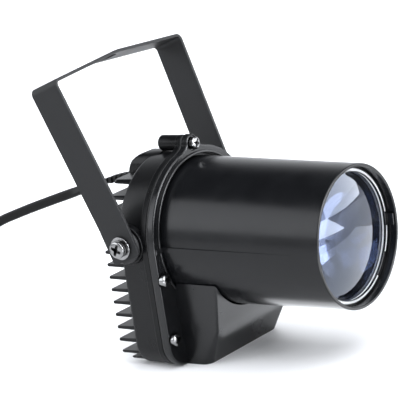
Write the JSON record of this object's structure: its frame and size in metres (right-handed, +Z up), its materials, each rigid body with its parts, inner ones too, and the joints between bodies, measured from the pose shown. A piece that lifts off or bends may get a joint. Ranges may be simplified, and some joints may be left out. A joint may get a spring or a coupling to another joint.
{
  "type": "pinspot light",
  "caption": "Small pinspot stage light: finned rear housing, long lens barrel, driver compartment below, tilting yoke, and a mains cord coiled behind it.",
  "frame": {"origin": "on the mid-plane, on the flat base that the lamp stands on, straight below the yoke's pivot axis", "axes": "-Y is the way the lens looks, +Z is up, -X is the lamp's right-hand side"},
  "size_m": [0.1479, 0.392, 0.1721],
  "materials": {
    "casting": "fine satin black paint on cast aluminium",
    "cover_plastic": "satin black moulded plastic",
    "barrel": "smooth semi-gloss black moulded plastic",
    "strap": "matt charcoal powder coat on steel strap",
    "nickel": "bright nickel plated steel",
    "brass": "turned brass",
    "rubber": "matt black rubber",
    "silicone": "white silicone",
    "lens_glass": "polished clear glass with a faint blue coating",
    "optic": "clear moulded acrylic",
    "board_white": "white solder mask on an aluminium board",
    "board_green": "green solder mask on glass fibre board",
    "phosphor": "yellow phosphor on a white ceramic package",
    "copper": "enamelled copper winding",
    "ferrite": "dark grey ferrite with yellow tape",
    "sleeve": "dark blue shrink sleeve",
    "terminal": "green moulded nylon",
    "wire_red": "red wire insulation",
    "wire_black": "black wire insulation",
    "cord_sheath": "soft satin black cord sheath",
    "plug": "satin black moulded plug"
  },
  "bodies": {
    "lamp": {"rear_housing": "casting", "cover_gasket": "rubber", "front_cover": "cover_plastic", "lens_barrel": "barrel", "main_lens": "lens_glass", "lens_gasket": "silicone", "lens_retaining_ring": "cover_plastic", "led_board": "board_white", "led_emitter": "phosphor", "collimator_lens": "optic", "collimator_holder": "cover_plastic", "light_baffle": "cover_plastic", "driver_board": "board_green", "driver_transformer": "ferrite", "input_capacitor": "sleeve", "output_capacitor": "sleeve", "driver_choke": "copper", "driver_fuse": "nickel", "mains_terminal": "terminal", "cover_screw_top": "nickel", "cover_screw_right_upper": "nickel", "cover_screw_right_lower": "nickel", "cover_screw_left_upper": "nickel", "cover_screw_left_lower": "nickel", "led_screw_right": "nickel", "led_screw_left": "nickel", "driver_screw_right": "nickel", "driver_screw_left": "nickel", "led_wire_positive": "wire_red", "led_wire_negative": "wire_black", "supply_lead": "wire_black", "friction_washer_right": "rubber", "friction_washer_left": "rubber", "pivot_washer_right": "nickel", "pivot_washer_left": "nickel", "pivot_screw_right": "nickel", "pivot_screw_left": "nickel", "pivot_insert_right": "brass", "pivot_insert_left": "brass", "strain_relief": "rubber", "mains_cord": "cord_sheath", "cord_coil": "cord_sheath", "coil_tie": "rubber", "plug_body": "plug", "plug_pin_right": "nickel", "plug_pin_left": "nickel"},
    "yoke": {"yoke": "strap"}
  },
  "joints": [
    {"name": "yoke_tilt", "type": "hinge", "parent": "lamp", "child": "yoke", "pos_m": [0, 0, 0.072], "axis": [1, 0, 0], "range_deg": [-50, 78]}
  ]
}
